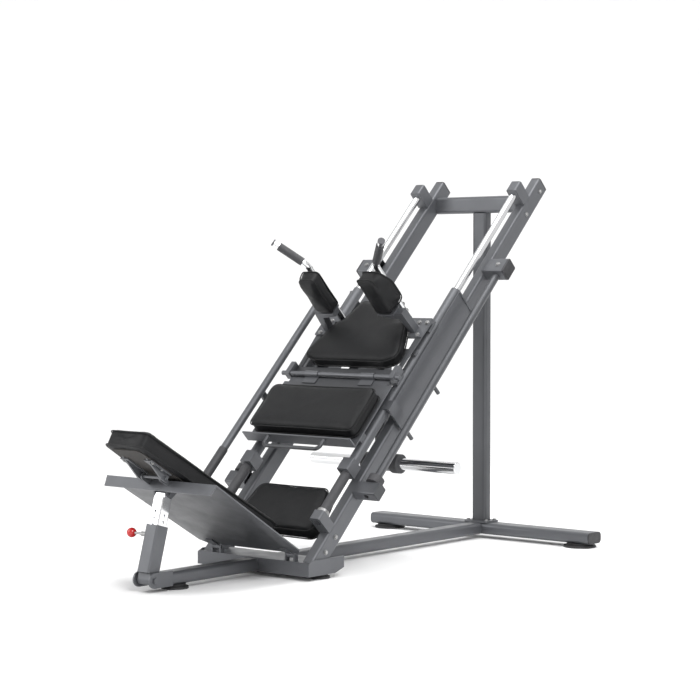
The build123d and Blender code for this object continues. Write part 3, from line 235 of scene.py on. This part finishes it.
MATERIALS = {
    "frame_paint": paint("frame_paint", (0.060, 0.062, 0.067), metallic=0.45, rough=0.40),
    "steel_dark": paint("steel_dark", (0.025, 0.026, 0.028), metallic=0.3, rough=0.45),
    "chrome": chrome("chrome"),
    "zinc_bolts": plated("zinc_bolts"),
    "rubber": rubber("rubber"),
    "grip_rubber": rubber("grip_rubber", (0.010, 0.010, 0.011), 0.5, 800.0),
    "plastic": rubber("plastic", (0.016, 0.016, 0.018), 0.42, 900.0),
    "bush": rubber("bush", (0.03, 0.03, 0.03), 0.45, 900.0),
    "upholstery": vinyl("upholstery"),
    "piping": vinyl("piping", (0.0055, 0.0057, 0.0062), 0.42),
    "board": stained_board("board"),
    "red_plastic": gloss("red_plastic", (0.50, 0.012, 0.012)),
}
SLOT_OF = {entry["node"]: entry["material_slot"] for entry in frame["record"]["subparts"]}
BODY_OF = {node: body for body, names in frame["record"]["behaviour"]["bodies"].items() for node in names}


def dress(obj, material):
    obj.data.materials.clear()
    obj.data.materials.append(MATERIALS[material])


def soften_edges(obj, width=0.0012):
    """Thin bevel so that metal edges catch the light."""
    bevel = obj.modifiers.new("edges", "BEVEL")
    bevel.width = width
    bevel.segments = 2
    bevel.limit_method = "ANGLE"
    bevel.angle_limit = math.radians(35)
    bevel.harden_normals = False


for node_name, node in NODES.items():
    dress(node, SLOT_OF[node_name])
    soften_edges(node)


# ------------------------------------------------------------------ mesh helpers
def new_object(name, verts, faces, body, material, smooth=True):
    mesh = bpy.data.meshes.new(name)
    mesh.from_pydata([tuple(v) for v in verts], [], faces)
    mesh.update()
    obj = bpy.data.objects.new(name, mesh)
    bpy.context.scene.collection.objects.link(obj)
    obj.data.materials.append(MATERIALS[material])
    for face in mesh.polygons:
        face.use_smooth = smooth
    tidy = bmesh.new()
    tidy.from_mesh(mesh)
    bmesh.ops.recalc_face_normals(tidy, faces=tidy.faces)
    tidy.to_mesh(mesh)
    tidy.free()
    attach(obj, body)
    return obj


def tube(name, path, radius, body, material, sides=10):
    """Round tube along a closed ring of points."""
    count = len(path)
    verts = []
    previous = None
    for i, point in enumerate(path):
        ahead = path[(i + 1) % count] - path[i - 1]
        ahead.normalize()
        if previous is None:
            side = ahead.orthogonal().normalized()
        else:
            side = (previous - ahead * previous.dot(ahead)).normalized()
        previous = side
        other = ahead.cross(side)
        for k in range(sides):
            angle = 2 * math.pi * k / sides
            verts.append(point + (side * math.cos(angle) + other * math.sin(angle)) * radius)
    faces = []
    for i in range(count - 1):
        for k in range(sides):
            m = (k + 1) % sides
            faces.append((i * sides + k, i * sides + m, (i + 1) * sides + m, (i + 1) * sides + k))
    # the last ring may be twisted against the first, so it is lined up before they are joined
    last = (count - 1) * sides
    shift = min(range(sides), key=lambda q: (verts[last] - verts[q]).length)
    for k in range(sides):
        m = (k + 1) % sides
        faces.append((last + k, last + m, (m + shift) % sides, (k + shift) % sides))
    return new_object(name, verts, faces, body, material)


# ------------------------------------------------------------------ upholstery
VOXEL = 0.006
PRESSURE = 4.0
LAST_FRAME = 20
SWELL_CAP = 0.0035
START_INSET = 0.0030


def resample(outline, step):
    """Points at an even spacing round a closed outline."""
    out = []
    total = 0.0
    lengths = []
    for i, a in enumerate(outline):
        b = outline[(i + 1) % len(outline)]
        lengths.append(math.hypot(b[0] - a[0], b[1] - a[1]))
        total += lengths[-1]
    count = max(24, int(total / step))
    spacing = total / count
    i = 0
    run = 0.0
    for k in range(count):
        place = k * spacing
        while run + lengths[i] < place and i < len(outline) - 1:
            run += lengths[i]
            i += 1
        t = (place - run) / lengths[i] if lengths[i] else 0.0
        a, b = outline[i], outline[(i + 1) % len(outline)]
        out.append(Vector((a[0] + (b[0] - a[0]) * t, a[1] + (b[1] - a[1]) * t)))
    return out


def relax(outline, rounds):
    for _ in range(rounds):
        n = len(outline)
        outline = [(outline[i - 1] + outline[i] * 2 + outline[(i + 1) % n]) / 4 for i in range(n)]
    return outline


def outline_at(mesh, ex, ey, ez, depth, tolerance):
    """Outline of a CAD cushion's flat face at one depth, as 2-D points in order."""
    places = {}
    keys = [tuple(round(value, 5) for value in v.co) for v in mesh.vertices]
    uses = {}
    for face in mesh.polygons:
        corners = [keys[i] for i in face.vertices]
        if any(abs(Vector(c).dot(ez) - depth) > tolerance for c in corners):
            continue
        for a, b in zip(corners, corners[1:] + corners[:1]):
            places[a] = Vector(a)
            places[b] = Vector(b)
            edge = (min(a, b), max(a, b))
            uses[edge] = uses.get(edge, 0) + 1
    neighbours = {}
    for (a, b), times in uses.items():
        if times == 1:
            neighbours.setdefault(a, []).append(b)
            neighbours.setdefault(b, []).append(a)
    start = min(neighbours)
    chain = [start]
    previous, here = None, start
    while True:
        ahead = [n for n in neighbours[here] if n != previous]
        if ahead[0] == start and len(chain) > 2:
            break
        previous, here = here, ahead[0]
        if here == start:
            break
        chain.append(here)
    return [(places[k].dot(ex), places[k].dot(ey)) for k in chain]


def ray_length(outline, centre, direction):
    """Distance from centre to a closed outline, along a direction."""
    best = 0.0
    for i, a in enumerate(outline):
        b = outline[(i + 1) % len(outline)]
        edge = (b[0] - a[0], b[1] - a[1])
        cross = direction.x * edge[1] - direction.y * edge[0]
        if abs(cross) < 1e-12:
            continue
        away = (a[0] - centre.x, a[1] - centre.y)
        t = (away[0] * edge[1] - away[1] * edge[0]) / cross
        u = (away[0] * direction.y - away[1] * direction.x) / cross
        if t > 0 and -1e-6 <= u <= 1 + 1e-6:
            best = max(best, t)
    return best


def inflate(obj, cap):
    """Swells a closed form with cloth pressure, then lets no point end further than cap from its start.

    On the large pads nearly every point reaches the cap, so the cap sets how much they swell.
    """
    remesh = obj.modifiers.new("remesh", "REMESH")
    remesh.mode = "VOXEL"
    remesh.voxel_size = VOXEL
    apply_modifiers(obj)
    before = [v.co.copy() for v in obj.data.vertices]
    cloth = obj.modifiers.new("cloth", "CLOTH")
    cloth.settings.use_pressure = True
    cloth.settings.uniform_pressure_force = PRESSURE
    cloth.settings.quality = 4
    cloth.settings.effector_weights.gravity = 0.0
    scene = bpy.context.scene
    for number in range(1, LAST_FRAME + 1):
        scene.frame_set(number)
    apply_modifiers(obj)
    scene.frame_set(1)
    for vertex, old in zip(obj.data.vertices, before):
        move = vertex.co - old
        if move.length > cap:
            vertex.co = old + move.normalized() * cap
    for face in obj.data.polygons:
        face.use_smooth = True


def apply_modifiers(obj):
    """Replaces a mesh by what its modifiers make of it."""
    depsgraph = bpy.context.evaluated_depsgraph_get()
    mesh = bpy.data.meshes.new_from_object(obj.evaluated_get(depsgraph), depsgraph=depsgraph)
    obj.modifiers.clear()
    old = obj.data
    obj.data = mesh
    bpy.data.meshes.remove(old)


def cushion(node, ex, ey, ez, crown=0.006, edge=0.009, pipe=0.0028, round_off=3):
    """Crowned pad with a tall sewn side band and piping, in the space of a CAD cushion.

    ex and ey span the pad's face and ez is the way the face points.
    """
    co = [v.co.copy() for v in NODES[node].data.vertices]
    depth = [c.dot(ez) for c in co]
    low, high = min(depth), max(depth)
    thick = high - low
    mesh = NODES[node].data
    top_outline = outline_at(mesh, ex, ey, ez, high, thick * 0.05)
    low_outline = outline_at(mesh, ex, ey, ez, low, thick * 0.05)
    top = relax(resample(top_outline, 0.007), round_off)
    count = len(top)
    centre = sum(top, Vector((0, 0))) / count
    under = []
    for p in top:
        way = (p - centre).normalized()
        grown = ray_length(low_outline, centre, way)
        narrow = ray_length(top_outline, centre, way)
        under.append(p + way * (grown - narrow))
    under = relax(under, 2)
    def pull_in(points, amount):
        return [p + (centre - p).normalized() * amount for p in points]

    top = pull_in(top, START_INSET)
    under = pull_in(under, START_INSET)

    def place(p, z):
        return ex * p.x + ey * p.y + ez * z

    high -= crown * 0.6
    seam_low = low + 0.007
    band_top = high - edge
    rings = [[place(centre + (p - centre) * t, low + 0.0008) for p in under] for t in (0.3, 0.7, 0.97)]
    rings.append([place(p, low + 0.004) for p in under])
    low_seam = len(rings)
    rings.append([place(p, seam_low) for p in under])
    for k in range(1, 8):
        t = k / 8
        rings.append([place(a.lerp(b, t), seam_low + (band_top - seam_low) * t) for a, b in zip(under, top)])
    top_seam = len(rings)
    rings.append([place(p, band_top) for p in top])
    for t in (0.985, 0.965, 0.94, 0.90, 0.84, 0.76, 0.66, 0.54, 0.40, 0.26, 0.12):
        ring = []
        for p in top:
            q = centre + (p - centre) * t
            from_edge = (p - q).length
            roll = edge * (1 - math.exp(-from_edge / 0.004))
            swell = crown * (1 - math.exp(-from_edge / 0.05))
            ring.append(place(q, band_top + roll + swell))
        rings.append(ring)
    verts = [v for ring in rings for v in ring]
    faces = []
    for r in range(len(rings) - 1):
        for i in range(count):
            j = (i + 1) % count
            faces.append((r * count + i, r * count + j, (r + 1) * count + j, (r + 1) * count + i))
    bottom = len(verts)
    verts.append(place(centre, low + 0.0008))
    crest = len(verts)
    verts.append(sum(rings[-1], Vector((0, 0, 0))) / count)
    last = (len(rings) - 1) * count
    for i in range(count):
        j = (i + 1) % count
        faces.append((bottom, j, i))
        faces.append((crest, last + i, last + j))
    body = BODY_OF[node]
    pad = new_object(node + "_cover", verts, faces, body, "upholstery")
    inflate(pad, SWELL_CAP)
    subdivide = pad.modifiers.new("smooth", "SUBSURF")
    subdivide.levels = 1
    subdivide.render_levels = 1
    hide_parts(node)
    for label, ring in (("low", rings[low_seam]), ("top", rings[top_seam])):
        tube(f"{node}_piping_{label}", [v.copy() for v in ring], pipe, body, "piping")
    return pad


cushion("back_pad", X, UP_RAIL, OFF_RAIL)
cushion("lower_pad", X, UP_RAIL, OFF_RAIL)
cushion("seat_pad", X, UP_RAIL, OFF_RAIL, crown=0.009)
cushion("backrest_pad", X, UP_PLATE, OFF_PLATE)
cushion("right_shoulder_pad", X, OFF_RAIL, -UP_RAIL)
cushion("left_shoulder_pad", X, OFF_RAIL, -UP_RAIL)


# ------------------------------------------------------------------ stage
def stage_floor():
    """Pale floor that curves up into a backdrop behind the machine."""
    verts = []
    faces = []
    profile = [(-14.0, 0.0), (6.0, 0.0)]
    for k in range(1, 13):
        angle = math.pi / 2 * k / 12
        profile.append((6.0 + 3.0 * math.sin(angle), 3.0 - 3.0 * math.cos(angle)))
    profile.append((9.0, 14.0))
    turn = Matrix.Rotation(math.radians(40), 4, "Z")
    for along, height in profile:
        for side in (-18.0, 18.0):
            verts.append(turn @ Vector((side, along, height - 0.0005)))
    for i in range(len(profile) - 1):
        faces.append((2 * i, 2 * i + 1, 2 * i + 3, 2 * i + 2))
    mesh = bpy.data.meshes.new("studio_floor")
    mesh.from_pydata([tuple(v) for v in verts], [], faces)
    for face in mesh.polygons:
        face.use_smooth = True
    obj = bpy.data.objects.new("studio_floor", mesh)
    bpy.context.scene.collection.objects.link(obj)
    s = Shader("studio_floor")
    tint = s.ramp(s.noise(0.6, 2.0), ((0.3, (0.94, 0.94, 0.94)), (0.7, (0.97, 0.97, 0.97))))
    s.set(Base_Color=tint, Roughness=0.9, Specular_IOR_Level=0.1)
    obj.data.materials.append(s.mat)


def dark_card(name, place, aim, width, height):
    """Black card beside the set, so that polished tubes mirror a dark line."""
    w, h = width / 2, height / 2
    corners = [(-w, -h, 0), (w, -h, 0), (w, h, 0), (-w, h, 0)]
    mesh = bpy.data.meshes.new(name)
    mesh.from_pydata(corners, [], [(0, 1, 2, 3)])
    obj = bpy.data.objects.new(name, mesh)
    obj.location = place
    obj.rotation_euler = (Vector(aim) - Vector(place)).to_track_quat("-Z", "Y").to_euler()
    bpy.context.scene.collection.objects.link(obj)
    s = Shader(name)
    tint = s.ramp(s.noise(2.0, 2.0), ((0.3, (0.015, 0.015, 0.016)), (0.7, (0.022, 0.022, 0.023))))
    s.set(Base_Color=tint, Roughness=0.95, Specular_IOR_Level=0.1)
    obj.data.materials.append(s.mat)
    obj.visible_camera = False


def area_light(name, place, aim, size, power, shape="RECTANGLE", height=None):
    data = bpy.data.lights.new(name, "AREA")
    data.shape = shape
    data.size = size
    data.size_y = height or size
    data.energy = power
    obj = bpy.data.objects.new(name, data)
    obj.location = place
    obj.rotation_euler = (Vector(aim) - Vector(place)).to_track_quat("-Z", "Y").to_euler()
    bpy.context.scene.collection.objects.link(obj)


def lights():
    world = bpy.data.worlds.new("studio")
    bpy.context.scene.world = world
    world.use_nodes = True
    sky = world.node_tree.nodes["Background"]
    sky.inputs["Color"].default_value = (1.0, 1.0, 1.0, 1.0)
    sky.inputs["Strength"].default_value = 0.85
    # product-photograph whites need a transform that does not roll them off
    bpy.context.scene.view_settings.view_transform = "Standard"
    area_light("key", (5.5, -3.0, 5.0), (0.0, 0.0, 0.7), 2.4, 260.0, height=2.4)
    area_light("fill", (-3.5, -5.0, 3.2), (0.0, 0.0, 0.7), 3.0, 120.0, height=3.0)
    area_light("top", (0.5, 1.0, 5.5), (0.0, 0.2, 0.6), 3.5, 160.0, height=3.5)


stage_floor()
dark_card("card_left", (-5.0, -1.0, 2.0), (0.0, 0.0, 0.8), 1.6, 4.5)
dark_card("card_right", (5.5, 1.5, 2.0), (0.0, 0.0, 0.8), 1.4, 4.5)
lights()

# ------------------------------------------------------------------ camera
AZIMUTH = math.radians(40.0)
PITCH = math.radians(2.1)
VIEW_RIGHT = Vector((math.cos(AZIMUTH), math.sin(AZIMUTH), 0))
VIEW_BACK = Vector(
    (math.sin(AZIMUTH) * math.cos(PITCH), -math.cos(AZIMUTH) * math.cos(PITCH), math.sin(PITCH))
)
VIEW_UP = VIEW_BACK.cross(VIEW_RIGHT)
camera_data = bpy.data.cameras.new("camera")
camera_data.lens = 1998.5 / 700 * 36.0
camera_data.sensor_width = 36.0
camera_data.clip_end = 100.0
camera = bpy.data.objects.new("camera", camera_data)
bpy.context.scene.collection.objects.link(camera)
camera.location = VIEW_BACK * 7.8204 + VIEW_RIGHT * 0.3976 + VIEW_UP * 0.8824 + Vector((0, -0.4729, 0))
camera.rotation_euler = (math.radians(90) - PITCH, 0, AZIMUTH)
bpy.context.scene.camera = camera
